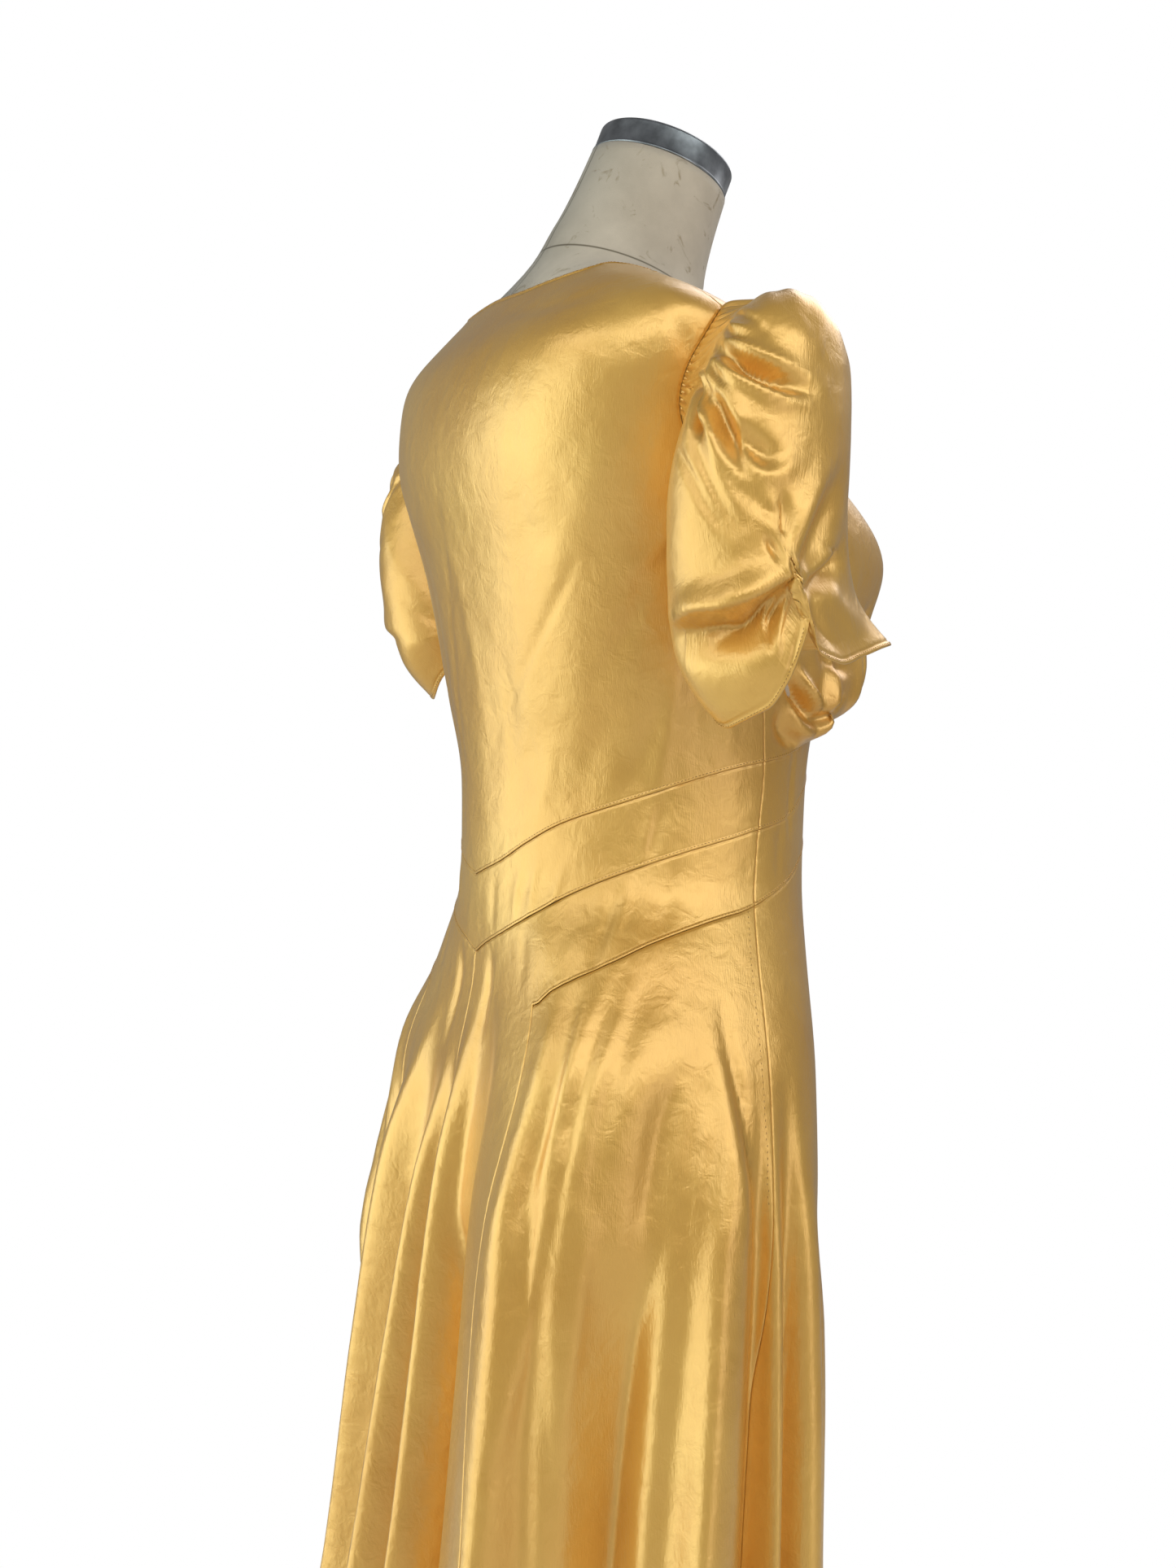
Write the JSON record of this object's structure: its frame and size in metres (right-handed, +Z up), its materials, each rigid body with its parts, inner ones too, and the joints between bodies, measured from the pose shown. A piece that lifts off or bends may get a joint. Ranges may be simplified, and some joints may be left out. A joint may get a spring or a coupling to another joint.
{
  "type": "evening gown on dress form",
  "caption": "Floor-length bias-cut satin evening gown with puff sleeves, chevron waist bands and flared skirt, on a limbless dress form with pole and round base.",
  "frame": {"origin": "on the floor under the middle of the round base", "axes": "+Z up, the gown faces -Y, the wearer's right side is at -X"},
  "size_m": [0.6225, 0.5591, 1.5165],
  "materials": {
    "satin": "golden yellow silk satin, soft broad sheen",
    "linen": "aged unbleached linen cover, matt",
    "cap_metal": "dull worn metal cap",
    "pole_metal": "drawn steel tube",
    "base_iron": "black enamelled casting"
  },
  "bodies": {
    "root": {"back_bodice": "satin", "front_bodice_right": "satin", "front_bodice_left": "satin", "sleeve_right": "satin", "sleeve_left": "satin", "upper_band_back": "satin", "upper_band_front": "satin", "lower_band_front": "satin", "back_panel_right": "satin", "back_panel_left": "satin", "side_back_gore_right": "satin", "side_back_gore_left": "satin", "front_skirt": "satin", "form_torso": "linen", "neck_cap": "cap_metal", "pole": "pole_metal", "base": "base_iron"}
  },
  "joints": []
}
